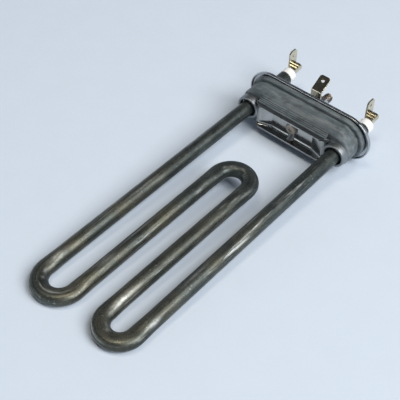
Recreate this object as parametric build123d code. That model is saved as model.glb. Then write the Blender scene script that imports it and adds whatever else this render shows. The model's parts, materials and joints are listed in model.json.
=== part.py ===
from build123d import *
import os
from math import cos, radians, sin

# Tubular heating element for a wash tub: one sheath tube bent three times into a W, held in a
# rubber expansion seal that a centre stud squeezes between a steel flange and a pressed plate.
#
# Frame: millimetres, +Z up.  The origin is on the stud's axis, in the flange's outer face.
# +Y points out of the tub towards the terminals, -Y into the water.  The W lies in z = 0.

# ---- sheath tube: sizes ----
TUBE_D = 8.0                # straight legs, outside
TUBE_WALL = 0.7
BEND_WIDTH = 8.7            # the bends are pressed flat on two sides: width in the plane of the W
BEND_HEIGHT = 6.64          # and height across it
BEND_LEAD = 9.0             # length over which a leg changes from round to the bend's section
LEG_PITCH = 55.7            # between the two outer legs
LEFT_BEND_R = 9.85          # centreline radii of the two far bends
RIGHT_BEND_R = 8.8
LEFT_BEND_REACH = 159.6     # from the flange's outer face to each bend's centre
RIGHT_BEND_REACH = 158.5
MIDDLE_BEND_REACH = 65.3
LEFT_END_OUT = 15.2         # how far each end of the tube stands out of the flange
RIGHT_END_OUT = 8.5

# ---- inside the sheath ----
PIN_D = 2.5                 # cold pins that carry the current to the coil
COIL_D = 3.2                # outside of the close-wound resistance wire
COLD_LENGTH = 38.0          # unheated part of each outer leg, from the flange's outer face
PLUG_DEPTH = 6.0            # moisture seal in each mouth of the tube

# ---- terminals ----
BUSH_D = 8.2                # ceramic bush that sits on the mouth of the tube
BUSH_LENGTH = 4.8
BUSH_ROUND = 0.6            # outer end
BUSH_CHAMFER = 0.3          # end on the tube
BUSH_BORE_GAP = 0.1         # all round the pin
BARREL_GAP = 2.1            # from the bush to the crimped barrel
BARREL_LENGTH = 6.3         # along the pin
BARREL_WIDTH = 4.9
BARREL_SHIFT = 0.9          # of the barrel's middle from the pin's axis, towards the blade
BARREL_HEIGHT = 4.0
BARREL_ROUND = 1.7
CRIMP_GROOVES = 2
CRIMP_GROOVE_R = 0.7
CRIMP_GROOVE_DEPTH = 0.4
PIN_PAST_BARREL = 0.6
BLADE_WIDTH = 6.3           # standard push-on tab
BLADE_T = 0.8
BLADE_RISE = 11.6           # tip of the terminal blade above the pin's axis
BLADE_HOLE_D = 1.7
BLADE_HOLE_FROM_TIP = 3.4
BLADE_CORNER = 1.4

# ---- outer flange ----
FLANGE_T = 1.0
FLANGE_RIM_REACH = 0.9      # how far the turned rim stands past the sheet, towards the seal
FLANGE_RIM_T = 0.9
FLANGE_RIM_R = 0.4          # round of the rim's free edge
FLANGE_BEND_R = 0.6         # outer round where the rim turns
FLANGE_SIDE_GAP = 0.5       # from the turned rim to the seal's rim, above and below
FLANGE_END_GAP = 1.65       # and at the two ends
FLANGE_TUBE_GAP = 0.1

# ---- rubber seal ----
SEAL_RIM_HEIGHT = 24.8      # the lip that closes on the tub's wall
SEAL_RIM_T = 3.3
SEAL_RIM_R = 0.9
SEAL_GROOVE_HEIGHT = 20.4
SEAL_GROOVE_T = 1.2
SEAL_BODY_HEIGHT = 21.4
SEAL_BODY_LENGTH = 8.7
SEAL_BODY_BACK_R = 0.5
SEAL_BODY_FRONT_R = 1.6
SEAL_WIDTH_OVER_HEIGHT = 47.6   # straight part of every oblong of the seal
SEAL_STUD_GAP = 0.25
STEP_COUNT = 4              # fine steps of rubber over and under the plate's lips
STEP_LENGTH = 0.75
STEP_SPAN = 43.0

# ---- inner plate: one pressed sheet ----
PLATE_T = 0.8
PLATE_HEIGHT = 14.9         # over the two lips
PLATE_END_R = 6.7           # round ends about the tubes
LIP_REACH = 5.3             # from the plate's back to the edge of each lip
LIP_HALF_SPAN = 19.6        # half the straight edge of a lip
LIP_BEVEL = 3.8             # each lip's ends slope back by this much
LIP_BEND_R = 1.5            # inside radius between the floor and a lip
FLOOR_HALF_SPAN = 13.0      # half the flat floor between the ramps
RAMP_RUN = 7.2
RAMP_RISE = 2.4
COLLAR_GAP = 1.0            # between the tube and the collar's lip
COLLAR_RISE = 3.9           # from the plate's back to the crest
COLLAR_CREST_WIDTH = 1.5    # from the collar's lip out to its slope
COLLAR_CREST_R = 0.6
COLLAR_LIP_DEPTH = 1.3      # how far the sheet turns back along the tube
COLLAR_FLARE = 0.3          # how much wider a collar's foot is than its crest
GUSSET_R = 2.2              # pressed stiffening bead across the lower lip's bend
GUSSET_LEG = 1.2
GUSSET_SINK = 0.75          # how far the bead's axis lies outside the bend
GUSSET_LENGTH = 4.8

# ---- clamp stud and what it carries ----
STUD_D = 5.0
STUD_OUT = 18.6             # end of the stud past the flange's outer face
STUD_END_R = 1.2
STUD_HEAD_D = 7.0
STUD_HEAD_T = 1.7
STUD_HEAD_R = 1.1
STUD_MARK_D = 2.2           # centre mark in the head
STUD_MARK_DEPTH = 0.4
STUD_HOLE_GAP = 0.2
NUT_ACROSS_FLATS = 8.0
CLAMP_NUT_T = 4.0           # nut that squeezes the seal
EARTH_NUT_T = 5.0           # outer nut that holds the earth tab on it
NUT_CORNER_CUT = 0.5
NUT_BORE_GAP = 0.05
WASHER_D = 10.0
WASHER_T = 1.0
SPRING_WASHER_D = 8.8
SPRING_WASHER_T = 1.2
SPRING_WASHER_SLIT = 0.8
EARTH_EYE_D = 10.6          # round foot of the earth tab, between the two nuts
EARTH_BEND_HEIGHT = 12.8    # where the blade turns away
EARTH_BEND_R = 1.0          # of the strip's middle at the bend
EARTH_TILT = 30.5           # of the blade above the stud's direction, degrees
EARTH_BLADE_LENGTH = 9.3
EARTH_CORNER = 0.9
EARTH_HOLE_FROM_TIP = 3.0

CUT_PAST = 1.0              # how far every cutting shape runs past what it cuts
SAME = 1e-4                 # places closer than this are the same place

# ---- places worked out from the sizes ----
TUBE_R = TUBE_D / 2
LEFT_X = -LEG_PITCH / 2
RIGHT_X = LEG_PITCH / 2
INNER_LEFT_X = LEFT_X + 2 * LEFT_BEND_R
INNER_RIGHT_X = RIGHT_X - 2 * RIGHT_BEND_R
FLANGE_HEIGHT = SEAL_RIM_HEIGHT + 2 * (FLANGE_SIDE_GAP + FLANGE_RIM_T)
FLANGE_WIDTH = SEAL_WIDTH_OVER_HEIGHT + SEAL_RIM_HEIGHT + 2 * (FLANGE_END_GAP + FLANGE_RIM_T)
SEAL_BACK_Y = -FLANGE_T
GROOVE_Y = SEAL_BACK_Y - SEAL_RIM_T
BODY_Y = GROOVE_Y - SEAL_GROOVE_T
PLATE_Y = BODY_Y - SEAL_BODY_LENGTH      # the seal's front face and the plate's back
FLOOR_Y = PLATE_Y - PLATE_T              # the front of the plate's floor
LIP_Y = PLATE_Y - LIP_REACH
LIP_Z = PLATE_HEIGHT / 2
EARTH_EYE_Y = CLAMP_NUT_T
WASHER_Y = EARTH_EYE_Y + BLADE_T
SPRING_WASHER_Y = WASHER_Y + WASHER_T
EARTH_NUT_Y = SPRING_WASHER_Y + SPRING_WASHER_T

SIDES = {"left": (LEFT_X, LEFT_END_OUT), "right": (RIGHT_X, RIGHT_END_OUT)}


def rod(diameter, x, y_from, y_to):
    """A round bar along Y about the line x, z = 0."""
    bar = Cylinder(diameter / 2, abs(y_to - y_from))
    return Pos(x, (y_from + y_to) / 2, 0) * Rot(90, 0, 0) * bar


def drill(diameter, x, y_from, y_to):
    """The cutter for a round hole from y_from down to y_to, which runs past both ends."""
    return rod(diameter, x, y_from + CUT_PAST, y_to - CUT_PAST)


def wall_plane(y, x=0.0, z=0.0):
    """A plane across Y whose sketches have X to the right and Z up, and extrude towards -Y."""
    return Plane(origin=(x, y, z), x_dir=(1, 0, 0), z_dir=(0, -1, 0))


def oblong(width, height, y_from, y_to):
    """A bar with round ends, from y_from down to y_to."""
    return extrude(wall_plane(y_from) * SlotOverall(width, height), y_from - y_to)


def edges_at(solid, y):
    """The edges that lie flat in the plane across Y at y."""
    return solid.edges().filter_by(
        lambda e: abs(e.center().Y - y) < SAME and e.bounding_box().size.Y < SAME)


# ---- the tube and what runs inside it ----

def leg_section(y, x, diameter):
    return wall_plane(y, x) * Circle(diameter / 2)


def bend_section(y, x, width, height):
    """A tube pressed between two flats, or a round one where the width and height are the same."""
    section = SlotOverall(width, height) if width > height else Circle(height / 2)
    return wall_plane(y, x) * section


def tube_run(diameter, width, height, left_end, right_end):
    """The whole W as one solid: round legs, pressed bends and a lead between each two of them."""
    bends = (
        (LEFT_X, INNER_LEFT_X, -LEFT_BEND_REACH, 1),
        (INNER_LEFT_X, INNER_RIGHT_X, -MIDDLE_BEND_REACH, -1),
        (INNER_RIGHT_X, RIGHT_X, -RIGHT_BEND_REACH, 1),
    )
    pieces = []
    for x_a, x_b, y_bend, side in bends:
        turn = Axis(((x_a + x_b) / 2, y_bend, 0), (0, 0, side))
        pieces.append(revolve(bend_section(y_bend, x_a, width, height), turn, 180))
        for x in (x_a, x_b):
            y_lead = y_bend + side * BEND_LEAD
            pieces.append(loft([bend_section(y_bend, x, width, height), leg_section(y_lead, x, diameter)]))
    legs = (
        (LEFT_X, left_end, -LEFT_BEND_REACH + BEND_LEAD),
        (INNER_LEFT_X, -MIDDLE_BEND_REACH - BEND_LEAD, -LEFT_BEND_REACH + BEND_LEAD),
        (INNER_RIGHT_X, -MIDDLE_BEND_REACH - BEND_LEAD, -RIGHT_BEND_REACH + BEND_LEAD),
        (RIGHT_X, right_end, -RIGHT_BEND_REACH + BEND_LEAD),
    )
    for x, y_near, y_far in legs:
        pieces.append(rod(diameter, x, y_near, y_far))
    run = pieces[0]
    for piece in pieces[1:]:
        run = run + piece
    return run


def make_sheath_tube():
    outside = tube_run(TUBE_D, BEND_WIDTH, BEND_HEIGHT, LEFT_END_OUT, RIGHT_END_OUT)
    return outside - make_bore(0)


def make_bore(short):
    """The space inside the sheath, ending short of each mouth by the given depth."""
    wall = 2 * TUBE_WALL
    return tube_run(TUBE_D - wall, BEND_WIDTH - wall, BEND_HEIGHT - wall,
                    LEFT_END_OUT - short, RIGHT_END_OUT - short)


def make_resistance_coil():
    """The close-wound wire, as the outer envelope of its turns."""
    return tube_run(COIL_D, COIL_D, COIL_D, -COLD_LENGTH, -COLD_LENGTH)


def make_cold_pin(side):
    x, end_out = SIDES[side]
    pin_end = end_out + BUSH_LENGTH + BARREL_GAP + BARREL_LENGTH + PIN_PAST_BARREL
    return rod(PIN_D, x, -COLD_LENGTH, pin_end)


def make_magnesia_core():
    core = make_bore(PLUG_DEPTH) - make_resistance_coil()
    for side in SIDES:
        core = core - make_cold_pin(side)
    return core


def make_end_seal(side):
    x, end_out = SIDES[side]
    plug = rod(TUBE_D - 2 * TUBE_WALL, x, end_out - PLUG_DEPTH, end_out)
    return plug - make_cold_pin(side)


def make_ceramic_bush(side):
    x, end_out = SIDES[side]
    bush = rod(BUSH_D, x, end_out, end_out + BUSH_LENGTH)
    bush = fillet(edges_at(bush, end_out + BUSH_LENGTH), BUSH_ROUND)
    bush = chamfer(edges_at(bush, end_out), BUSH_CHAMFER)
    return bush - drill(PIN_D + 2 * BUSH_BORE_GAP, x, end_out + BUSH_LENGTH, end_out)


def make_terminal_tab(side):
    """Crimped barrel round the pin, and a push-on blade that stands up from its side."""
    x, end_out = SIDES[side]
    y_near = end_out + BUSH_LENGTH + BARREL_GAP
    y_far = y_near + BARREL_LENGTH
    section = RectangleRounded(BARREL_WIDTH, BARREL_HEIGHT, BARREL_ROUND)
    barrel_x = x - BARREL_SHIFT
    barrel = extrude(wall_plane(y_far, barrel_x) * section, BARREL_LENGTH)
    groove_lift = BARREL_HEIGHT / 2 + CRIMP_GROOVE_R - CRIMP_GROOVE_DEPTH
    for i in range(CRIMP_GROOVES):
        y = y_near + BARREL_LENGTH * (i + 1) / (CRIMP_GROOVES + 1)
        for z in (groove_lift, -groove_lift):
            groove = Cylinder(CRIMP_GROOVE_R, BARREL_WIDTH + 2 * CUT_PAST)
            barrel = barrel - Pos(barrel_x, y, z) * Rot(0, 90, 0) * groove
    blade_x = barrel_x - BARREL_WIDTH / 2 + BLADE_T / 2
    blade = Pos(blade_x, (y_near + y_far) / 2, BLADE_RISE / 2) * Box(BLADE_T, BLADE_WIDTH, BLADE_RISE)
    tip_edges = blade.edges().filter_by(Axis.X).filter_by(lambda e: e.center().Z > BLADE_RISE - SAME)
    blade = chamfer(tip_edges, BLADE_CORNER)
    hole = Pos(blade_x, (y_near + y_far) / 2, BLADE_RISE - BLADE_HOLE_FROM_TIP) * Rot(0, 90, 0)
    blade = blade - hole * Cylinder(BLADE_HOLE_D / 2, 3 * BLADE_T)
    return barrel + blade - drill(PIN_D, x, y_far, y_near)


# ---- flange, seal and plate ----

def make_outer_flange():
    """A stamped tray: flat sheet with its rim turned towards the seal all the way round."""
    front_y = -FLANGE_T - FLANGE_RIM_REACH
    rim = 2 * FLANGE_RIM_T
    flange = oblong(FLANGE_WIDTH, FLANGE_HEIGHT, 0, front_y)
    flange = fillet(edges_at(flange, 0), FLANGE_BEND_R)
    flange = flange - oblong(FLANGE_WIDTH - rim, FLANGE_HEIGHT - rim, -FLANGE_T, front_y - CUT_PAST)
    flange = fillet(edges_at(flange, front_y), FLANGE_RIM_R)
    for x, _ in SIDES.values():
        flange = flange - drill(TUBE_D + 2 * FLANGE_TUBE_GAP, x, 0, -FLANGE_T)
    return flange - drill(STUD_D + 2 * STUD_HOLE_GAP, 0, 0, -FLANGE_T)


def seal_oblong(height, y_from, y_to):
    return oblong(SEAL_WIDTH_OVER_HEIGHT + height, height, y_from, y_to)


def make_seal_steps(side):
    """Fine steps of rubber that run down to a lip of the plate, above it or, with side -1, below."""
    step_height = (SEAL_BODY_HEIGHT / 2 - SEAL_BODY_FRONT_R / 2 - LIP_Z) / STEP_COUNT
    steps = None
    for i in range(STEP_COUNT):
        height = step_height * (i + 1)
        length = STEP_LENGTH * (STEP_COUNT - i)
        place = Pos(0, PLATE_Y - length / 2, side * (LIP_Z + height / 2))
        block = place * Box(STEP_SPAN, length, height)
        steps = block if steps is None else steps + block
    return steps


def make_rubber_seal():
    rim = seal_oblong(SEAL_RIM_HEIGHT, SEAL_BACK_Y, GROOVE_Y)
    rim = fillet(edges_at(rim, SEAL_BACK_Y) + edges_at(rim, GROOVE_Y), SEAL_RIM_R)
    neck = seal_oblong(SEAL_GROOVE_HEIGHT, GROOVE_Y, BODY_Y)
    body = seal_oblong(SEAL_BODY_HEIGHT, BODY_Y, PLATE_Y)
    body = fillet(edges_at(body, BODY_Y), SEAL_BODY_BACK_R)
    body = fillet(edges_at(body, PLATE_Y), SEAL_BODY_FRONT_R)
    seal = rim + neck + body + make_seal_steps(1) + make_seal_steps(-1)
    for x, _ in SIDES.values():
        seal = seal - drill(TUBE_D, x, SEAL_BACK_Y, PLATE_Y)
    return seal - drill(STUD_D + 2 * SEAL_STUD_GAP, 0, SEAL_BACK_Y, PLATE_Y)


def prism(points, half_height):
    """A prism of the given outline in XY, standing half_height either side of z = 0."""
    outline = make_face(Polyline(*points, close=True))
    return extrude(Plane.XY.offset(-half_height) * outline, 2 * half_height)


def mirrored(points):
    """The points, and the same ones again mirrored in X and in reverse order."""
    return list(points) + [(-x, y) for x, y in reversed(points)]


def make_collar(x):
    """The drawn collar round one tube: flat border, slope, rolled crest and a lip turned back."""
    lip_r = TUBE_R + COLLAR_GAP
    crest_r = lip_r + COLLAR_CREST_WIDTH
    foot_r = crest_r + COLLAR_FLARE
    crest_y = PLATE_Y - COLLAR_RISE
    lip_end_y = crest_y + COLLAR_LIP_DEPTH
    outline = Polyline((lip_r, lip_end_y), (lip_r, crest_y), (crest_r, crest_y), (foot_r, FLOOR_Y),
                       (PLATE_END_R + PLATE_T, FLOOR_Y), (PLATE_END_R + PLATE_T, PLATE_Y),
                       (foot_r - PLATE_T, PLATE_Y), (crest_r - PLATE_T, crest_y + PLATE_T),
                       (lip_r + PLATE_T, crest_y + PLATE_T), (lip_r + PLATE_T, lip_end_y), close=True)
    section = make_face(outline)
    crest_corners = section.vertices().filter_by(lambda v: abs(v.Y - crest_y) < SAME)
    section = fillet(crest_corners, COLLAR_CREST_R)
    return Pos(x, 0, 0) * revolve(section, Axis.Y, 360)


def make_trough():
    """The plate's middle: flat floor, a ramp at each end and a lip along the top and the bottom."""
    end_x = LIP_HALF_SPAN + LIP_BEVEL
    corners = [(end_x, PLATE_Y), (end_x, LIP_Y + LIP_BEVEL), (LIP_HALF_SPAN, LIP_Y)]
    block = prism(mirrored(corners), LIP_Z)
    back_edges = edges_at(block, PLATE_Y).filter_by(Axis.X)
    block = fillet(back_edges, LIP_BEND_R + PLATE_T)
    ramp_end = FLOOR_HALF_SPAN + RAMP_RUN
    pocket = prism(mirrored([(end_x + CUT_PAST, LIP_Y - CUT_PAST),
                             (end_x + CUT_PAST, FLOOR_Y - RAMP_RISE),
                             (ramp_end, FLOOR_Y - RAMP_RISE), (FLOOR_HALF_SPAN, FLOOR_Y)]), LIP_Z - PLATE_T)
    floor_edges = pocket.edges().filter_by(
        lambda e: e.bounding_box().size.Z < SAME and e.bounding_box().min.Y > FLOOR_Y - RAMP_RISE - SAME)
    pocket = fillet(floor_edges, LIP_BEND_R)
    gusset, dent = make_gusset()
    return block - pocket + (gusset & block) - dent


def make_gusset():
    """The bead pressed inwards across the lower bend, and the dent that it leaves outside."""
    middle_y = FLOOR_Y - GUSSET_LEG / 2 + GUSSET_SINK
    middle_z = -LIP_Z + PLATE_T + GUSSET_LEG / 2 - GUSSET_SINK
    across = Pos(0, middle_y, middle_z) * Rot(-45, 0, 0)
    bead = across * Cylinder(GUSSET_R, GUSSET_LENGTH)
    dent_r = GUSSET_R - PLATE_T
    mouth = Pos(0, GUSSET_LEG, 0) * Box(2 * dent_r, 2 * GUSSET_LEG, GUSSET_LENGTH)
    dent = across * (Cylinder(dent_r, GUSSET_LENGTH) + mouth)
    return bead, dent


def make_inner_plate():
    end_x = LIP_HALF_SPAN + LIP_BEVEL
    ramp_end = FLOOR_HALF_SPAN + RAMP_RUN
    border = oblong(LEG_PITCH + 2 * PLATE_END_R, 2 * PLATE_END_R, PLATE_Y, FLOOR_Y)
    border = border - Pos(0, PLATE_Y, 0) * Box(2 * end_x, 4 * PLATE_T, 4 * PLATE_END_R)
    plate = make_trough()
    for x, _ in SIDES.values():
        inside_collar = drill(2 * (TUBE_R + COLLAR_GAP + COLLAR_CREST_WIDTH), x, PLATE_Y, LIP_Y)
        plate = plate - inside_collar
        border = border - inside_collar
    plate = plate + border
    for x, _ in SIDES.values():
        reach = rod(2 * PLATE_END_R, x, PLATE_Y, LIP_Y)
        plate = plate + (make_collar(x) & reach)
    for side in (1, -1):
        ramp_foot = side * (FLOOR_HALF_SPAN + PLATE_T)
        hollow = [(ramp_foot, PLATE_Y + CUT_PAST), (ramp_foot, PLATE_Y),
                  (side * (ramp_end + PLATE_T), PLATE_Y - RAMP_RISE),
                  (side * end_x, PLATE_Y - RAMP_RISE),
                  (side * end_x, PLATE_Y + CUT_PAST)]
        plate = plate - prism(hollow, LIP_Z - PLATE_T - LIP_BEND_R)
    return plate - drill(STUD_D, 0, PLATE_Y, LIP_Y)


# ---- stud, nuts, washers and earth tab ----

def make_clamp_stud():
    shank = rod(STUD_D, 0, STUD_OUT, FLOOR_Y)
    shank = fillet(edges_at(shank, STUD_OUT), STUD_END_R)
    head_y = FLOOR_Y - STUD_HEAD_T
    head = rod(STUD_HEAD_D, 0, FLOOR_Y, head_y)
    head = fillet(edges_at(head, head_y), STUD_HEAD_R)
    mark = rod(STUD_MARK_D, 0, head_y + STUD_MARK_DEPTH, head_y - CUT_PAST)
    return shank + head - mark


def make_flat_washer():
    washer = rod(WASHER_D, 0, WASHER_Y, SPRING_WASHER_Y)
    return washer - drill(STUD_D + 2 * STUD_HOLE_GAP, 0, SPRING_WASHER_Y, WASHER_Y)


def make_spring_washer():
    ring = rod(SPRING_WASHER_D, 0, SPRING_WASHER_Y, EARTH_NUT_Y)
    ring = ring - drill(STUD_D + 2 * STUD_HOLE_GAP, 0, EARTH_NUT_Y, SPRING_WASHER_Y)
    slit = Pos(SPRING_WASHER_D / 2, (SPRING_WASHER_Y + EARTH_NUT_Y) / 2, 0) * Rot(30, 0, 0)
    return ring - slit * Box(SPRING_WASHER_D - STUD_D, 3 * SPRING_WASHER_T, SPRING_WASHER_SLIT)


def hex_nut(y_from, thickness):
    y_to = y_from + thickness
    hexagon = RegularPolygon(NUT_ACROSS_FLATS / 2, 6, major_radius=False)
    nut = extrude(wall_plane(y_to) * hexagon, thickness)
    corner_circle = rod(NUT_ACROSS_FLATS / cos(radians(30)), 0, y_from, y_to)
    ends = edges_at(corner_circle, y_from) + edges_at(corner_circle, y_to)
    nut = nut & chamfer(ends, NUT_CORNER_CUT)
    return nut - drill(STUD_D + 2 * NUT_BORE_GAP, 0, y_to, y_from)


def make_clamp_nut():
    return hex_nut(0, CLAMP_NUT_T)


def make_earth_nut():
    return hex_nut(EARTH_NUT_Y, EARTH_NUT_T)


def make_earth_tab():
    """A round eye between the nuts, a strip up along the flange and a blade that leans outwards."""
    middle_y = EARTH_EYE_Y + BLADE_T / 2
    along = Vector(0, cos(radians(EARTH_TILT)), sin(radians(EARTH_TILT)))
    bend = Vector(0, middle_y, EARTH_BEND_HEIGHT)
    tip = bend + along * EARTH_BLADE_LENGTH
    path = FilletPolyline((0, middle_y, 0), bend, tip, radius=EARTH_BEND_R)
    strip = sweep(Plane.XY * Pos(0, middle_y) * Rectangle(BLADE_WIDTH, BLADE_T), path)
    corners = strip.edges().filter_by(lambda e: abs((e.center() - tip).dot(along)) < SAME)
    strip = chamfer(corners.filter_by(lambda e: e.length < BLADE_T + SAME), EARTH_CORNER)
    hole = Plane(origin=tip - along * EARTH_HOLE_FROM_TIP, z_dir=Vector(1, 0, 0).cross(along))
    strip = strip - hole * Cylinder(BLADE_HOLE_D / 2, 3 * BLADE_T)
    tab = rod(EARTH_EYE_D, 0, EARTH_EYE_Y, WASHER_Y) + strip
    return tab - drill(STUD_D + 2 * STUD_HOLE_GAP, 0, WASHER_Y, EARTH_EYE_Y)


PIECES = {
    "sheath_tube": make_sheath_tube,
    "magnesia_core": make_magnesia_core,
    "resistance_coil": make_resistance_coil,
    "outer_flange": make_outer_flange,
    "rubber_seal": make_rubber_seal,
    "inner_plate": make_inner_plate,
    "clamp_stud": make_clamp_stud,
    "flat_washer": make_flat_washer,
    "spring_washer": make_spring_washer,
    "clamp_nut": make_clamp_nut,
    "earth_nut": make_earth_nut,
    "earth_tab": make_earth_tab,
}
SIDED_PIECES = {
    "cold_pin": make_cold_pin,
    "end_seal": make_end_seal,
    "ceramic_bush": make_ceramic_bush,
    "terminal_tab": make_terminal_tab,
}

os.makedirs("parts", exist_ok=True)
for name, make in PIECES.items():
    export_step(make(), f"parts/{name}.step")
for name, make in SIDED_PIECES.items():
    for side in SIDES:
        export_step(make(side), f"parts/{name}_{side}.step")
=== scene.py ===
import json
import math

import bmesh
import bpy
import numpy as np
from mathutils import Matrix, Vector


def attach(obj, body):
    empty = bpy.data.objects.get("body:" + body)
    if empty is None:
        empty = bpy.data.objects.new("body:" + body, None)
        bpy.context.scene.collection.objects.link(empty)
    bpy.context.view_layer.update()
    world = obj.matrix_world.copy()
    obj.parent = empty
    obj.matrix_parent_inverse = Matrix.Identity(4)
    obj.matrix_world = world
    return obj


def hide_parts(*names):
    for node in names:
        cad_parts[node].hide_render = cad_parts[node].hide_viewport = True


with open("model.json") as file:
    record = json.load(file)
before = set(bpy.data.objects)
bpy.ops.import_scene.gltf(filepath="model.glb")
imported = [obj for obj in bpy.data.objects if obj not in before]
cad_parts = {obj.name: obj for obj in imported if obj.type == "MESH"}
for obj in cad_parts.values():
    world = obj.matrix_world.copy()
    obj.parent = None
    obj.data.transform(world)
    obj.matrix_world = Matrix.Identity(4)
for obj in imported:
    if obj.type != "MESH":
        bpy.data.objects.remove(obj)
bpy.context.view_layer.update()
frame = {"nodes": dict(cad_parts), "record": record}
MM = 0.001
FULL_TURN = 2 * math.pi
nodes = frame["nodes"]


def add_object(name, data):
    """A new object in the scene."""
    obj = bpy.data.objects.new(name, data)
    bpy.context.scene.collection.objects.link(obj)
    return obj


# ---------------------------------------------------------------- camera
CAM_AZIMUTH, CAM_ELEVATION, CAM_ROLL = 42.658, 48.411, -1.081      # degrees
CAM_TARGET = Vector((-2.799, -84.049, 0.0)) * MM
CAM_DISTANCE = 380.717 * MM
CLIP_NEAR, CLIP_FAR = 0.01, 20.0
FOCAL_PX, FRAME_PX, SENSOR = 789.558, 400, 36.0


def make_camera():
    az, el, roll = (math.radians(a) for a in (CAM_AZIMUTH, CAM_ELEVATION, CAM_ROLL))
    back = Vector((math.sin(az) * math.cos(el), -math.cos(az) * math.cos(el), math.sin(el)))
    level = Vector((math.cos(az), math.sin(az), 0.0))
    upright = back.cross(level)
    right = math.cos(roll) * level + math.sin(roll) * upright
    up = -math.sin(roll) * level + math.cos(roll) * upright
    data = bpy.data.cameras.new("camera")
    data.sensor_width = SENSOR
    data.lens = SENSOR * FOCAL_PX / FRAME_PX
    data.clip_start, data.clip_end = CLIP_NEAR, CLIP_FAR
    cam = add_object("camera", data)
    turn = Matrix((right, up, back)).transposed().to_4x4()
    cam.matrix_world = Matrix.Translation(CAM_TARGET + back * CAM_DISTANCE) @ turn
    bpy.context.scene.camera = cam


# ---------------------------------------------------------------- shader nodes
def new_material(name):
    mat = bpy.data.materials.new(name)
    mat.use_nodes = True
    tree = mat.node_tree
    return mat, tree, tree.nodes["Principled BSDF"]


def put(tree, kind, **values):
    """A new node. Each value goes to the node's setting of that name, or else to its input."""
    node = tree.nodes.new(kind)
    for key, value in values.items():
        if hasattr(node, key):
            setattr(node, key, value)
        else:
            node.inputs[key].default_value = value
    return node


def stretched(tree, coords, stretch):
    scale = put(tree, "ShaderNodeMapping", Scale=stretch)
    tree.links.new(coords, scale.inputs["Vector"])
    return scale.outputs["Vector"]


def object_coords(tree, stretch=(1, 1, 1)):
    return stretched(tree, put(tree, "ShaderNodeTexCoord").outputs["Object"], stretch)


def attribute(tree, name, output="Vector"):
    return put(tree, "ShaderNodeAttribute", attribute_name=name).outputs[output]


def noise(tree, coords, scale, detail, roughness=0.55):
    """Noise with so many lumps to the metre."""
    node = put(tree, "ShaderNodeTexNoise", Scale=scale, Detail=detail, Roughness=roughness)
    tree.links.new(coords, node.inputs["Vector"])
    return node.outputs["Fac"]


def ramp(tree, fac, stops):
    """Colour stops {position: colour or grey level}."""
    node = put(tree, "ShaderNodeValToRGB")
    found = node.color_ramp.elements
    while len(found) < len(stops):
        found.new(0.5)
    for element, (position, value) in zip(found, sorted(stops.items())):
        element.position = position
        element.color = (*value, 1) if hasattr(value, "__len__") else (value, value, value, 1)
    tree.links.new(fac, node.inputs["Fac"])
    return node.outputs["Color"]


def mottle(tree, coords, scale, detail, stops, roughness=0.55):
    """Noise run through a ramp."""
    return ramp(tree, noise(tree, coords, scale, detail, roughness), stops)


def blend(tree, fac, a, b, mode="MIX"):
    """Two colours, each a socket or a plain value, mixed by a socket or a number."""
    node = put(tree, "ShaderNodeMix", data_type="RGBA", blend_type=mode)
    sockets = [s for s in node.inputs if s.enabled]
    for socket, value in zip(sockets, (fac, a, b)):
        if isinstance(value, bpy.types.NodeSocket):
            tree.links.new(value, socket)
        elif hasattr(value, "__len__"):
            socket.default_value = (*value, 1)
        else:
            socket.default_value = value
    return next(s for s in node.outputs if s.enabled)


def multiply(tree, a, b):
    return blend(tree, 1.0, a, b, "MULTIPLY")


def lighten(tree, a, b):
    return blend(tree, 1.0, a, b, "LIGHTEN")


def bump(tree, bsdf, height, strength, distance, under=None):
    """Relief on the shader, over another normal where one is given."""
    node = put(tree, "ShaderNodeBump", Strength=strength, Distance=distance)
    tree.links.new(height, node.inputs["Height"])
    if under is not None:
        tree.links.new(under, node.inputs["Normal"])
    tree.links.new(node.outputs["Normal"], bsdf.inputs["Normal"])
    return node.outputs["Normal"]


def share_along(tree, axis, start, end):
    """0 to 1 along one axis of the object, between two places in metres."""
    where = put(tree, "ShaderNodeTexCoord")
    split = put(tree, "ShaderNodeSeparateXYZ")
    tree.links.new(where.outputs["Object"], split.inputs["Vector"])
    span = put(tree, "ShaderNodeMapRange")
    for socket, value in (("From Min", start), ("From Max", end)):
        span.inputs[socket].default_value = value
    tree.links.new(split.outputs[axis], span.inputs["Value"])
    return span.outputs["Result"]


# ---------------------------------------------------------------- materials
COOL_OXIDE_DARK, COOL_OXIDE = (0.050, 0.062, 0.062), (0.092, 0.106, 0.099)
# The warm oxide colours are lighter than the cool ones: partly heat tint, partly a painted highlight.
WARM_OXIDE_AND_HIGHLIGHT_DARK, WARM_OXIDE_AND_HIGHLIGHT = (0.084, 0.084, 0.064), (0.150, 0.142, 0.104)
BARE_SHEATH = (0.52, 0.54, 0.52)
HEAT_AND_HIGHLIGHT_FROM_Y, HEAT_AND_HIGHLIGHT_TO_Y = -60 * MM, -150 * MM            # the oxide turns warm and lighter over this stretch: partly heat tint, partly a painted highlight
# The rubber's greys carry a blue-green cast that is painted blue bounce light over the rubber's own dark
# grey.
RUBBER_DARK_WITH_PAINTED_BOUNCE, RUBBER_PALE_WITH_PAINTED_BOUNCE = (0.050, 0.068, 0.076), (0.096, 0.122, 0.134)
RUBBER_BLOOM, RUBBER_BROWN = (0.22, 0.245, 0.25), (0.115, 0.100, 0.092)
CERAMIC_DARK, CERAMIC_PALE = (0.80, 0.80, 0.78), (0.90, 0.90, 0.885)
COLLAR_FROM_X, COLLAR_TO_X = 20.5 * MM, 22.5 * MM       # where the plate's collars begin
COLLAR_COLOUR, COLLAR_ROUGH = (0.27, 0.29, 0.30), 0.42
EDGE_RADIUS, THIN_EDGE_RADIUS = 0.18 * MM, 0.06 * MM    # sheet edges are eased by this much
EDGE_SAMPLES = 6
DRAWN_TUBE, DRAWN_SEAL = (1, 0.04, 1), (0.12, 1, 1)     # these draw noise out along the tube and the seal


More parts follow.
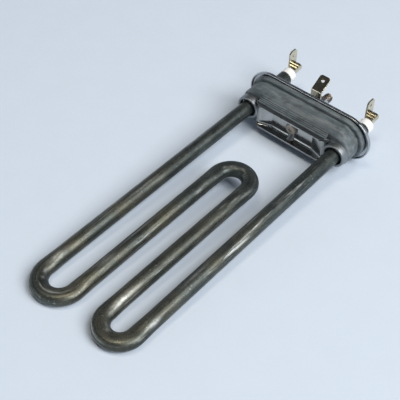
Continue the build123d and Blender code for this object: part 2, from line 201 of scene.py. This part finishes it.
def sheath_material():
    """Annealed sheath: dark blue grey oxide, warmer where it ran hot and lighter towards the bends as a
    painted highlight, with drawing lines and scuffs.

    The mesh carries the tube's own straightened coordinates, so the lines follow it round the bends.
    """
    mat, tree, bsdf = new_material("sheath_oxide")
    coords = attribute(tree, "straight")
    drawn = stretched(tree, coords, DRAWN_TUBE)
    cool = mottle(tree, coords, 90, 5, {0.35: COOL_OXIDE_DARK, 0.65: COOL_OXIDE}, 0.6)
    warm = mottle(tree, coords, 60, 5, {0.35: WARM_OXIDE_AND_HIGHLIGHT_DARK, 0.65: WARM_OXIDE_AND_HIGHLIGHT}, 0.6)
    # Painted highlight, partly heat tint: the oxide turns to the lighter warm colour along Y, towards the
    # bends.
    heat_and_highlight = ramp(tree, share_along(tree, "Y", HEAT_AND_HIGHLIGHT_FROM_Y, HEAT_AND_HIGHLIGHT_TO_Y), {0.0: 0.0, 0.55: 0.8, 1.0: 0.7})
    blotch = mottle(tree, coords, 30, 3, {0.40: 0.25, 0.60: 1.0})
    tint_and_painted_light = blend(tree, multiply(tree, heat_and_highlight, blotch), cool, warm)
    lines = mottle(tree, drawn, 900, 4, {0.30: 0.62, 0.72: 1.40}, 0.7)
    pits = mottle(tree, coords, 1500, 3, {0.34: 0.45, 0.46: 1.0}, 0.7)
    pitted = multiply(tree, multiply(tree, tint_and_painted_light, lines), pits)
    specks = mottle(tree, coords, 800, 5, {0.62: 0.0, 0.70: 0.9}, 0.8)
    scuff = mottle(tree, drawn, 420, 6, {0.60: 0.0, 0.70: 1.0}, 0.75)
    patchy = mottle(tree, coords, 700, 5, {0.38: 0.35, 0.60: 1.0}, 0.8)
    rubbed = multiply(tree, attribute(tree, "rub", "Color"), patchy)
    worn = lighten(tree, lighten(tree, specks, scuff), rubbed)
    tree.links.new(blend(tree, worn, pitted, BARE_SHEATH), bsdf.inputs["Base Color"])
    tree.links.new(mottle(tree, coords, 260, 4, {0.3: 0.32, 0.7: 0.48}), bsdf.inputs["Roughness"])
    bsdf.inputs["Metallic"].default_value = 0.8
    bsdf.inputs["Specular IOR Level"].default_value = 0.35
    lined = bump(tree, bsdf, noise(tree, drawn, 1600, 3), 0.25, 0.04 * MM)
    bump(tree, bsdf, noise(tree, coords, 1300, 4), 0.30, 0.05 * MM, lined)
    return mat


def rubber_material():
    """Moulded rubber: dark grey with a blue-green cast of painted bounce light, matt, with a dusty bloom
    drawn out in streaks and darker hand marks.
    """
    mat, tree, bsdf = new_material("seal_rubber")
    coords = object_coords(tree)
    drawn = object_coords(tree, DRAWN_SEAL)
    # The blue-green cast of these greys is painted bounce light.
    base = mottle(tree, coords, 120, 6, {0.3: RUBBER_DARK_WITH_PAINTED_BOUNCE, 0.7: RUBBER_PALE_WITH_PAINTED_BOUNCE}, 0.65)
    streak = mottle(tree, drawn, 420, 6, {0.42: 0.0, 0.68: 0.85}, 0.75)
    brown = mottle(tree, drawn, 160, 4, {0.52: 0.0, 0.72: 0.35}, 0.6)
    tint_and_painted_light = blend(tree, brown, blend(tree, streak, base, RUBBER_BLOOM), RUBBER_BROWN)
    handled = mottle(tree, coords, 230, 5, {0.30: 0.55, 0.46: 1.0}, 0.7)
    tree.links.new(multiply(tree, tint_and_painted_light, handled), bsdf.inputs["Base Color"])
    tree.links.new(mottle(tree, coords, 420, 4, {0.3: 0.42, 0.7: 0.62}), bsdf.inputs["Roughness"])
    streaky = bump(tree, bsdf, noise(tree, drawn, 900, 5, 0.7), 0.35, 0.08 * MM)
    bump(tree, bsdf, noise(tree, coords, 2400, 5, 0.7), 0.30, 0.05 * MM, streaky)
    return mat


def steel_material(name, colour, rough, stain=0.15, relief=0.08, collars=False, ease=EDGE_RADIUS):
    """Sheet or turned steel: fine grain, cloudy roughness, faint stains and eased edges.

    With collars, what lies far out along X is duller, which is where the inner plate has its collars.
    """
    mat, tree, bsdf = new_material(name)
    coords = object_coords(tree)
    stained = tuple(c * (1 - stain) for c in colour)
    cloud = mottle(tree, coords, 180, 5, {0.35: stained, 0.65: colour}, 0.6)
    spread = mottle(tree, coords, 350, 4, {0.3: rough * 0.8, 0.7: rough * 1.2})
    if collars:
        left, right = (ramp(tree, share_along(tree, "X", side * COLLAR_FROM_X, side * COLLAR_TO_X),
                            {0.0: 0.0, 1.0: 1.0}) for side in (-1, 1))
        out = lighten(tree, left, right)
        cloud = blend(tree, out, cloud, COLLAR_COLOUR)
        spread = blend(tree, out, spread, (COLLAR_ROUGH,) * 3)
    grain = mottle(tree, coords, 1500, 3, {0.3: 0.94, 0.7: 1.04}, 0.7)
    tree.links.new(multiply(tree, cloud, grain), bsdf.inputs["Base Color"])
    tree.links.new(spread, bsdf.inputs["Roughness"])
    bsdf.inputs["Metallic"].default_value = 1.0
    eased = put(tree, "ShaderNodeBevel", samples=EDGE_SAMPLES, Radius=ease).outputs["Normal"]
    bump(tree, bsdf, noise(tree, coords, 2200, 3), relief, 0.02 * MM, eased)
    return mat


def ceramic_material():
    mat, tree, bsdf = new_material("bush_ceramic")
    coords = object_coords(tree)
    colour = mottle(tree, coords, 500, 4, {0.3: CERAMIC_DARK, 0.7: CERAMIC_PALE})
    tree.links.new(colour, bsdf.inputs["Base Color"])
    tree.links.new(mottle(tree, coords, 900, 3, {0.3: 0.38, 0.7: 0.55}), bsdf.inputs["Roughness"])
    bump(tree, bsdf, noise(tree, coords, 3000, 4), 0.2, 0.03 * MM)
    return mat


def filling_material(name, dark, pale, rough):
    """The hidden fillings, which only a cut would show."""
    mat, tree, bsdf = new_material(name)
    coords = object_coords(tree)
    tree.links.new(mottle(tree, coords, 600, 4, {0.3: dark, 0.7: pale}), bsdf.inputs["Base Color"])
    bsdf.inputs["Roughness"].default_value = rough
    bump(tree, bsdf, noise(tree, coords, 2500, 3), 0.3, 0.04 * MM)
    return mat


MATERIALS = {
    "sheath": sheath_material(),
    "magnesia": filling_material("magnesia", (0.70, 0.68, 0.62), (0.82, 0.80, 0.75), 0.9),
    "heating_wire": steel_material("heating_wire", (0.36, 0.34, 0.32), 0.5),
    "pin_steel": steel_material("pin_steel", (0.62, 0.60, 0.55), 0.28),
    "seal_resin": filling_material("seal_resin", (0.60, 0.57, 0.48), (0.72, 0.69, 0.60), 0.55),
    "bush_ceramic": ceramic_material(),
    "terminal_metal": steel_material("terminal_plate", (0.80, 0.72, 0.53), 0.14, stain=0.25, relief=0.02,
                                     ease=THIN_EDGE_RADIUS),
    "flange_steel": steel_material("flange_steel", (0.50, 0.52, 0.53), 0.22),
    "seal_rubber": rubber_material(),
    "plate_steel": steel_material("plate_steel", (0.46, 0.47, 0.46), 0.17, stain=0.25, collars=True),
    "stud_steel": steel_material("stud_steel", (0.34, 0.30, 0.25), 0.30, stain=0.35),
    "washer_steel": steel_material("washer_steel", (0.58, 0.59, 0.59), 0.28),
    "nut_steel": steel_material("nut_steel", (0.56, 0.57, 0.57), 0.26),
    "earth_metal": steel_material("earth_plate", (0.70, 0.63, 0.48), 0.13, relief=0.01),
}
SLOTS = {s["node"]: s["material_slot"] for s in frame["record"]["subparts"]}


def dress(obj, slot):
    obj.data.materials.clear()
    obj.data.materials.append(MATERIALS[slot])


for name, obj in nodes.items():
    dress(obj, SLOTS[name])


# ---------------------------------------------------------------- meshes
def smoothstep(t):
    t = np.clip(t, 0, 1)
    return t * t * (3 - 2 * t)


def ring_faces(rings, around):
    """The quads between neighbouring rings of a swept or turned surface."""
    a, b = np.meshgrid(np.arange(rings - 1), np.arange(around), indexing="ij")
    c = (b + 1) % around
    quads = [a * around + b, a * around + c, (a + 1) * around + c, (a + 1) * around + b]
    return np.stack(quads, axis=-1).reshape(-1, 4).tolist()


def face_outwards(mesh, weld=None):
    """Turn every face outwards, after welding vertices closer than weld where it is given."""
    work = bmesh.new()
    work.from_mesh(mesh)
    if weld is not None:
        bmesh.ops.remove_doubles(work, verts=work.verts, dist=weld)
    bmesh.ops.recalc_face_normals(work, faces=work.faces)
    work.to_mesh(mesh)
    work.free()


def carry(mesh, name, kind, field, values):
    """A value at every vertex, for the material to read."""
    mesh.attributes.new(name, kind, "POINT").data.foreach_set(field, values.reshape(-1))


# ---------------------------------------------------------------- sheath tube
TUBE_R = 4.0 * MM
FLAT_HALF, PRESSED_R = 1.03 * MM, 3.32 * MM     # a bend's section: half its flat, and its round sides
FLAT_SHARPNESS = 3.5                            # how squarely a flat ends
LEAD = 9.0 * MM                                 # from the round section to the pressed one
LEG_X = [x * MM for x in (-27.85, -8.15, 10.25, 27.85)]
BEND_Y = [y * MM for y in (-159.6, -65.3, -158.5)]
LEFT_END_Y, RIGHT_END_Y = 15.2 * MM, 8.5 * MM
RING_STEP, AROUND = 0.6 * MM, 56
# Wrinkles pressed into the inner side of each bend. They are at full depth from this sine of the turn.
WRINKLE_DEPTH, WRINKLE_PITCH, WRINKLE_FULL = 0.10 * MM, 1.5 * MM, 0.625
# Places rubbed bright, in millimetres: x, y, z, reach along the tube and across it. The last is strength.
RUBS = [
    (-27.0, -98.0, 4.0, 11.0, 0.6, 0.6),
    (-27.0, -154.5, 3.9, 5.0, 1.2, 0.7),
    (-24.8, -162.4, 3.3, 1.5, 0.8, 0.9),
    (-22.8, -165.3, 3.3, 0.8, 0.8, 0.8),
    (-14.5, -168.4, 3.3, 3.5, 0.6, 0.6),
    (-8.2, -141.0, 4.0, 5.0, 0.8, 0.6),
    (-9.4, -120.0, 3.8, 9.0, 0.5, 0.6),
    (-5.1, -82.1, 3.0, 2.0, 0.6, 0.7),
    (-6.2, -61.9, 3.4, 1.2, 0.5, 0.9),
    (-3.5, -58.7, 3.4, 2.5, 0.4, 1.0),
    (1.5, -57.2, 3.4, 2.5, 0.4, 1.0),
    (4.0, -59.6, 3.3, 0.2, 1.3, 0.9),
    (4.9, -60.3, 3.3, 0.2, 1.3, 0.8),
    (5.7, -61.1, 3.3, 0.2, 1.2, 0.7),
    (11.7, -75.9, 3.6, 3.5, 0.35, 0.8),
    (12.8, -70.3, 2.6, 5.0, 0.3, 0.9),
    (10.3, -83.0, 3.9, 2.5, 0.4, 0.8),
    (12.0, -151.0, 3.7, 8.0, 1.4, 0.7),
    (13.9, -149.0, 1.6, 8.0, 0.3, 1.0),
    (16.2, -163.6, 3.3, 1.6, 0.7, 0.9),
    (18.2, -165.4, 3.3, 1.2, 0.8, 0.7),
    (30.9, -150.0, 2.7, 3.2, 0.9, 1.0),
    (27.4, -121.0, 3.9, 8.0, 0.6, 0.7),
    (27.8, -60.0, 4.0, 5.0, 0.5, 0.4),
]


def sheath_path():
    """Stations down the W: centre, side vector, how far pressed from 0 to 1, and how far round a bend.

    The last is the sine of the turn, positive in the two far bends and negative in the near one.
    """
    spots, sides, pressed, bent = [], [], [], []

    def leg(x, y_from, y_to, side, bends):
        for y in np.linspace(y_from, y_to, int(abs(y_to - y_from) / RING_STEP) + 1)[:-1]:
            spots.append((x, y))
            sides.append((side, 0.0))
            pressed.append(float(smoothstep(1 - min(abs(y - end) for end in bends) / LEAD)))
            bent.append(0.0)

    def bend(x_from, x_to, y, far):
        middle, radius = (x_from + x_to) / 2, (x_to - x_from) / 2
        for t in np.linspace(0, math.pi, int(math.pi * radius / RING_STEP) + 1)[:-1]:
            out = (-math.cos(t), -far * math.sin(t))
            spots.append((middle + radius * out[0], y + radius * out[1]))
            sides.append((out[0] * far, out[1] * far))
            pressed.append(1.0)
            bent.append(math.sin(t) * far)

    leg(LEG_X[0], LEFT_END_Y, BEND_Y[0], -1.0, BEND_Y[:1])
    bend(LEG_X[0], LEG_X[1], BEND_Y[0], 1)
    leg(LEG_X[1], BEND_Y[0], BEND_Y[1], 1.0, BEND_Y[:2])
    bend(LEG_X[1], LEG_X[2], BEND_Y[1], -1)
    leg(LEG_X[2], BEND_Y[1], BEND_Y[2], -1.0, BEND_Y[1:])
    bend(LEG_X[2], LEG_X[3], BEND_Y[2], 1)
    leg(LEG_X[3], BEND_Y[2], RIGHT_END_Y, 1.0, BEND_Y[2:])
    spots.append((LEG_X[3], RIGHT_END_Y))
    sides.append((1.0, 0.0))
    pressed.append(0.0)
    bent.append(0.0)
    return tuple(np.array(part) for part in (spots, sides, pressed, bent))


def sheath_section(run, pressed, bent):
    """How far each point of each ring lies across the tube's path and above it."""
    angle = np.linspace(0, FULL_TURN, AROUND, endpoint=False)
    radius = TUBE_R + (PRESSED_R - TUBE_R) * pressed[:, None]
    squared = np.tanh(FLAT_SHARPNESS * np.cos(angle)) / math.tanh(FLAT_SHARPNESS)
    flat = FLAT_HALF * pressed[:, None] * squared
    # The inside of a bend is against its side vector where bent is positive, and along it where negative.
    inward = np.clip(-np.cos(angle)[None, :] * np.sign(bent)[:, None], 0, 1) ** 2
    inward *= smoothstep(np.abs(bent) / WRINKLE_FULL)[:, None]
    wave = 0.5 + 0.5 * np.sin(run / WRINKLE_PITCH * FULL_TURN)
    reach = radius - WRINKLE_DEPTH * inward * wave[:, None]
    return reach * np.cos(angle) + flat, reach * np.sin(angle)


def rubbed_share(points, spots):
    """How bright each point of the tube is rubbed, from 0 to 1."""
    share = np.zeros(points.shape[:2])
    way = np.gradient(spots, axis=0)
    way /= np.linalg.norm(way, axis=1)[:, None]
    for x, y, z, length, width, strength in RUBS:
        off = points - np.array((x, y, z)) * MM
        lengthwise = np.einsum("rak,rk->ra", off[:, :, :2], way)
        sideways = np.sqrt(np.maximum((off ** 2).sum(axis=2) - lengthwise ** 2, 0))
        near = (lengthwise / (length * MM)) ** 2 + (sideways / (width * MM)) ** 2
        share = np.maximum(share, strength * np.exp(-near))
    return share


def make_sheath():
    """The sheath swept down its path, with its straightened coordinates and rubbed places carried along."""
    spots, sides, pressed, bent = sheath_path()
    run = np.concatenate([[0], np.cumsum(np.linalg.norm(np.diff(spots, axis=0), axis=1))])
    across, upward = sheath_section(run, pressed, bent)
    rings = len(run)
    points = np.empty((rings, AROUND, 3))
    points[:, :, :2] = spots[:, None, :] + across[:, :, None] * sides[:, None, :]
    points[:, :, 2] = upward
    straight = np.empty_like(points)
    straight[:, :, 0], straight[:, :, 1], straight[:, :, 2] = across, run[:, None], upward
    shade = np.ones((rings * AROUND, 4))
    shade[:, :3] = rubbed_share(points, spots).reshape(-1, 1)
    faces = ring_faces(rings, AROUND)
    faces += [list(range(AROUND))[::-1], list(range((rings - 1) * AROUND, rings * AROUND))]
    mesh = bpy.data.meshes.new("sheath_skin")
    mesh.from_pydata(points.reshape(-1, 3).tolist(), [], faces)
    carry(mesh, "straight", "FLOAT_VECTOR", "vector", straight)
    carry(mesh, "rub", "FLOAT_COLOR", "color", shade)
    skin = add_object("sheath_skin", mesh)
    face_outwards(mesh)
    mesh.polygons.foreach_set("use_smooth", [True] * (len(faces) - 2) + [False] * 2)
    dress(skin, "sheath")
    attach(skin, "root")
    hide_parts("sheath_tube")


make_sheath()

# ---------------------------------------------------------------- clamp stud with its rolled thread
STUD_R, STUD_TIP_Y, STUD_TIP_R = 2.5 * MM, 18.6 * MM, 1.2 * MM
HEAD_R, HEAD_ROUND, HEAD_FACE_Y, HEAD_BACK_Y = 3.5 * MM, 1.1 * MM, -16.7 * MM, -15.0 * MM
MARK_R, MARK_FLOOR_R, MARK_DEPTH = 1.1 * MM, 0.99 * MM, 0.4 * MM    # the centre mark sunk in the head
THREAD_PITCH, THREAD_DEPTH, THREAD_FROM_Y = 0.8 * MM, 0.40 * MM, 1.0 * MM
THREAD_ROOT = 1.3                   # above 1, the groove has a flat root
THREAD_FADE_R = 0.75 * STUD_R       # the groove has run out where the tip has narrowed to this
STUD_AROUND, THREAD_STEP, ARC_STEPS = 48, 0.08 * MM, 8
CREASE_ANGLE = 50                   # degrees from which an edge is sharp
WELD = 0.001 * MM


def arc(r, y, radius, start, end):
    turns = [math.radians(start + (end - start) * i / ARC_STEPS) for i in range(ARC_STEPS + 1)]
    return [(r + radius * math.cos(t), y + radius * math.sin(t)) for t in turns]


def stud_profile():
    """Radius and place along Y, from the middle of the head's face to the tip."""
    mark_floor_y = HEAD_FACE_Y + MARK_DEPTH
    profile = [(0, mark_floor_y), (MARK_FLOOR_R, mark_floor_y), (MARK_R, HEAD_FACE_Y)]
    profile += arc(HEAD_R - HEAD_ROUND, HEAD_FACE_Y + HEAD_ROUND, HEAD_ROUND, -90, 0)
    profile += [(HEAD_R, HEAD_BACK_Y), (STUD_R, HEAD_BACK_Y)]
    count = int((STUD_TIP_Y - STUD_TIP_R - THREAD_FROM_Y) / THREAD_STEP)
    profile += [(STUD_R, THREAD_FROM_Y + THREAD_STEP * i) for i in range(count)]
    return profile + arc(STUD_R - STUD_TIP_R, STUD_TIP_Y - STUD_TIP_R, STUD_TIP_R, 0, 90) + [(0, STUD_TIP_Y)]


def make_stud():
    """The stud turned from its head to its tip, with a thread groove wound round the shank."""
    profile = stud_profile()
    points = []
    for r, y in profile:
        runs_in = smoothstep((y - THREAD_FROM_Y) / THREAD_PITCH)
        fade = float(runs_in * smoothstep((r - THREAD_FADE_R) / (STUD_R - THREAD_FADE_R)))
        for i in range(STUD_AROUND):
            turn = i / STUD_AROUND
            phase = abs(((y / THREAD_PITCH - turn) % 1) * 2 - 1)
            sunk = r - THREAD_DEPTH * float(smoothstep(phase * THREAD_ROOT)) * fade
            points.append((sunk * math.cos(turn * FULL_TURN), y, sunk * math.sin(turn * FULL_TURN)))
    mesh = bpy.data.meshes.new("stud_thread")
    mesh.from_pydata(points, [], ring_faces(len(profile), STUD_AROUND))
    face_outwards(mesh, WELD)
    mesh.shade_smooth()
    stud = add_object("stud_thread", mesh)
    stud.modifiers.new("creases", "EDGE_SPLIT").split_angle = math.radians(CREASE_ANGLE)
    dress(stud, "stud_steel")
    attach(stud, "root")
    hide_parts("clamp_stud")


make_stud()

# ---------------------------------------------------------------- floor, backdrop and light
FLOOR_COLOUR, FLOOR_MOTTLE, FLOOR_ROUGH = (0.62, 0.70, 0.80), 0.985, 0.85
FLOOR_HALF = 1.6
# The part rests on the flange's lower edge and on the far bends' undersides.
FLANGE_FOOT = Vector((0.0, -1.53, -13.82)) * MM
BEND_FOOT = Vector((0.0, -170.69, -3.335)) * MM
# The studio by height above the horizon, as it lights the part and as the eye and metal see it.
CEILING = (0.035, 0.04, 0.046)
STUDIO_LIGHT = {0.0: (0.34, 0.37, 0.42), 0.35: (0.26, 0.28, 0.32), 0.75: CEILING}
BACKDROP = {0.0: (0.64, 0.71, 0.80), 0.2: (0.60, 0.66, 0.74), 0.4: (0.26, 0.28, 0.32), 0.75: CEILING}
LAMP_DISTANCE = 2.2
# Each lamp's direction from the part, its width and height in metres, its watts and its colour.
LAMPS = {
    "key": ((0.66, 0.10, 0.75), (1.25, 1.6), 54.0, (1, 1, 1)),
    "card": ((-0.45, -0.855, 0.26), (0.9, 0.5), 3.0, (1, 1, 1)),
    "warm": ((-0.08, -0.07, 0.99), (0.7, 0.7), 11.0, (1.0, 0.90, 0.76)),
}


def make_floor():
    """Pale paper under the part's feet. The floor leans a little, and the part stays in its frame."""
    along = (FLANGE_FOOT - BEND_FOOT).normalized()
    turn = Vector((1, 0, 0)).cross(along).to_track_quat("Z", "Y").to_matrix().to_4x4()
    mesh = bpy.data.meshes.new("floor")
    corners = [(x * FLOOR_HALF, y * FLOOR_HALF, 0) for x, y in ((-1, -1), (1, -1), (1, 1), (-1, 1))]
    mesh.from_pydata(corners, [], [(0, 1, 2, 3)])
    floor = add_object("floor", mesh)
    floor.matrix_world = Matrix.Translation(FLANGE_FOOT.lerp(BEND_FOOT, 0.5)) @ turn
    mat, tree, bsdf = new_material("floor_paper")
    dark = tuple(c * FLOOR_MOTTLE for c in FLOOR_COLOUR)
    paper = mottle(tree, object_coords(tree), 60, 2, {0.3: dark, 0.7: FLOOR_COLOUR})
    tree.links.new(paper, bsdf.inputs["Base Color"])
    bsdf.inputs["Roughness"].default_value = FLOOR_ROUGH
    bsdf.inputs["Specular IOR Level"].default_value = 0.0
    mesh.materials.append(mat)


def area_light(name, direction, size, power, colour):
    data = bpy.data.lights.new(name, "AREA")
    data.shape = "RECTANGLE"
    data.size, data.size_y = size
    data.energy = power
    data.color = colour
    lamp = add_object(name, data)
    way = Vector(direction).normalized()
    lamp.location = CAM_TARGET + way * LAMP_DISTANCE
    lamp.rotation_mode = "QUATERNION"
    lamp.rotation_quaternion = way.to_track_quat("Z", "Y")


def make_world():
    """A dim studio. The eye and metal see a pale backdrop that darkens towards the ceiling."""
    world = bpy.data.worlds.new("studio")
    bpy.context.scene.world = world
    world.use_nodes = True
    tree = world.node_tree
    where = put(tree, "ShaderNodeTexCoord")
    split = put(tree, "ShaderNodeSeparateXYZ")
    tree.links.new(where.outputs["Generated"], split.inputs["Vector"])
    lit, backdrop = (ramp(tree, split.outputs["Z"], stops) for stops in (STUDIO_LIGHT, BACKDROP))
    path = put(tree, "ShaderNodeLightPath")
    seen = path.outputs["Is Camera Ray"]
    for other in ("Is Glossy Ray", "Is Transmission Ray"):
        either = put(tree, "ShaderNodeMath", operation="MAXIMUM")
        tree.links.new(seen, either.inputs[0])
        tree.links.new(path.outputs[other], either.inputs[1])
        seen = either.outputs[0]
    tree.links.new(blend(tree, seen, lit, backdrop), tree.nodes["Background"].inputs["Color"])


bpy.context.scene.view_settings.view_transform = "Standard"
make_camera()
make_floor()
make_world()
for name, (direction, size, power, colour) in LAMPS.items():
    area_light(name, direction, size, power, colour)
